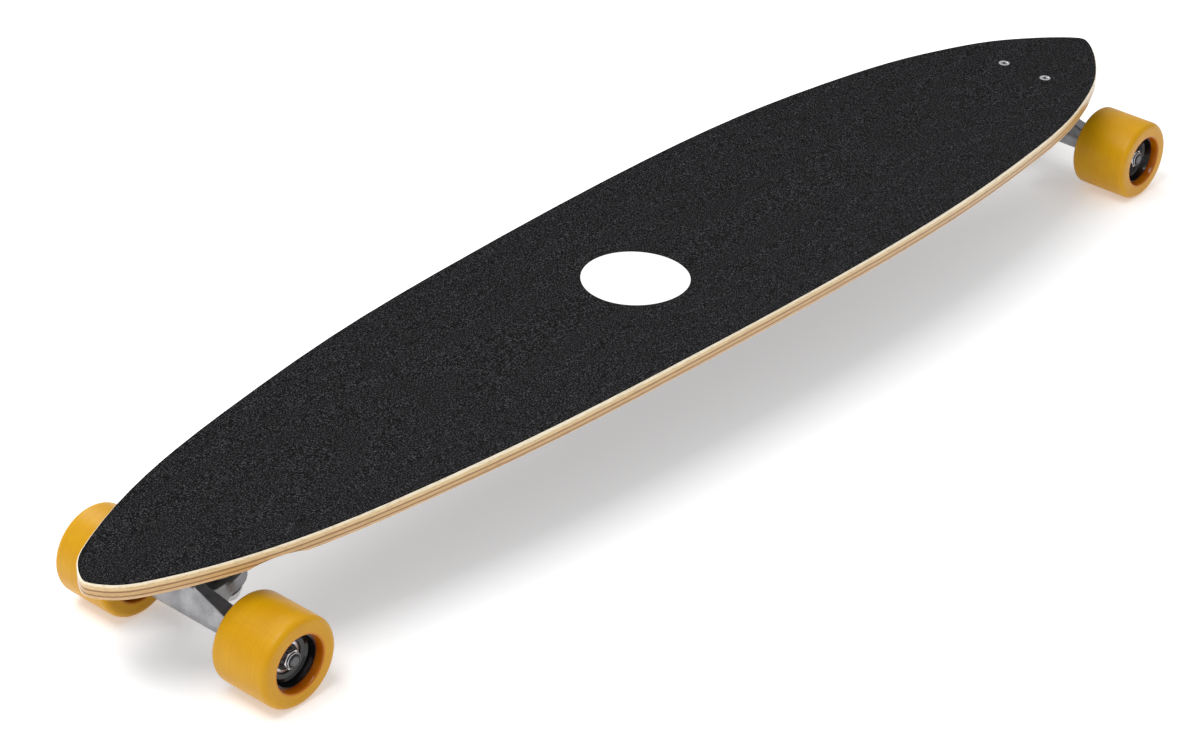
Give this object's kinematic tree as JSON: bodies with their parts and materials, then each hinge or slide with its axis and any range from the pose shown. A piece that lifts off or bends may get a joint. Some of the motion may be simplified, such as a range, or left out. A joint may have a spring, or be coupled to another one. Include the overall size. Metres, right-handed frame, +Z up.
{
  "type": "pintail longboard",
  "caption": "Pintail longboard skateboard: laminated deck with grip tape on two cast aluminium trucks with amber urethane wheels.",
  "frame": {"origin": "on the ground under the middle of the deck's box, halfway along its length and width", "axes": "+X to the nose along the deck, +Y to the left side, +Z up"},
  "size_m": [1.1164, 0.2254, 0.1046],
  "materials": {
    "maple_ply": "clear lacquer",
    "grip": "gritty",
    "white_vinyl": "satin",
    "zinc": "plated",
    "black_oxide": "black oxide",
    "cast_aluminium": "as cast, tumbled",
    "steel": "ground",
    "bushing_urethane": "satin",
    "black_urethane": "matte",
    "amber_urethane": "satin",
    "black_nylon": "gloss",
    "black_rubber": "matte"
  },
  "bodies": {
    "board": {"deck": "maple_ply", "griptape": "grip", "centre_disc": "white_vinyl", "front_inner_bolts": "zinc", "front_outer_bolts": "black_oxide", "rear_bolts": "black_oxide", "front_bolt_nuts": "zinc", "rear_bolt_nuts": "zinc", "front_baseplate": "cast_aluminium", "front_kingpin": "zinc", "front_kingpin_nut": "zinc", "front_top_washer": "zinc", "front_bottom_washer": "zinc", "front_top_bushing": "bushing_urethane", "front_bottom_bushing": "bushing_urethane", "front_pivot_cup": "black_urethane", "rear_baseplate": "cast_aluminium", "rear_kingpin": "zinc", "rear_kingpin_nut": "zinc", "rear_top_washer": "zinc", "rear_bottom_washer": "zinc", "rear_top_bushing": "bushing_urethane", "rear_bottom_bushing": "bushing_urethane", "rear_pivot_cup": "black_urethane"},
    "front_truck": {"front_hanger": "cast_aluminium", "front_axle": "steel", "front_axle_nuts": "zinc", "front_speed_washers": "zinc", "front_bearing_spacers": "steel", "front_bearing_inner_races": "steel"},
    "rear_truck": {"rear_hanger": "cast_aluminium", "rear_axle": "steel", "rear_axle_nuts": "zinc", "rear_speed_washers": "zinc", "rear_bearing_spacers": "steel", "rear_bearing_inner_races": "steel"},
    "front_left_wheel": {"front_left_tyre": "amber_urethane", "front_left_core": "black_nylon", "front_left_bearing_outer_races": "steel", "front_left_bearing_shields": "black_rubber", "front_left_bearing_balls": "steel"},
    "front_right_wheel": {"front_right_tyre": "amber_urethane", "front_right_core": "black_nylon", "front_right_bearing_outer_races": "steel", "front_right_bearing_shields": "black_rubber", "front_right_bearing_balls": "steel"},
    "rear_left_wheel": {"rear_left_tyre": "amber_urethane", "rear_left_core": "black_nylon", "rear_left_bearing_outer_races": "steel", "rear_left_bearing_shields": "black_rubber", "rear_left_bearing_balls": "steel"},
    "rear_right_wheel": {"rear_right_tyre": "amber_urethane", "rear_right_core": "black_nylon", "rear_right_bearing_outer_races": "steel", "rear_right_bearing_shields": "black_rubber", "rear_right_bearing_balls": "steel"}
  },
  "joints": [
    {"name": "front_steer", "type": "hinge", "parent": "board", "child": "front_truck", "pos_m": [0.5291, 0, 0.072], "axis": [0.8599, 0, 0.5105], "range_deg": [-15, 15], "stiffness_Nm_per_rad": 40, "deforming": ["front_top_bushing", "front_bottom_bushing"]},
    {"name": "rear_steer", "type": "hinge", "parent": "board", "child": "rear_truck", "pos_m": [-0.4892, 0, 0.072], "axis": [-0.8599, 0, 0.5105], "range_deg": [-15, 15], "stiffness_Nm_per_rad": 40, "deforming": ["rear_top_bushing", "rear_bottom_bushing"]},
    {"name": "front_left_spin", "type": "hinge", "parent": "front_truck", "child": "front_left_wheel", "pos_m": [0.5081, 0.076, 0.033], "axis": [0, 1, 0], "continuous": true},
    {"name": "front_right_spin", "type": "hinge", "parent": "front_truck", "child": "front_right_wheel", "pos_m": [0.5081, -0.076, 0.033], "axis": [0, 1, 0], "continuous": true},
    {"name": "rear_left_spin", "type": "hinge", "parent": "rear_truck", "child": "rear_left_wheel", "pos_m": [-0.4682, 0.076, 0.033], "axis": [0, 1, 0], "continuous": true},
    {"name": "rear_right_spin", "type": "hinge", "parent": "rear_truck", "child": "rear_right_wheel", "pos_m": [-0.4682, -0.076, 0.033], "axis": [0, 1, 0], "continuous": true}
  ]
}
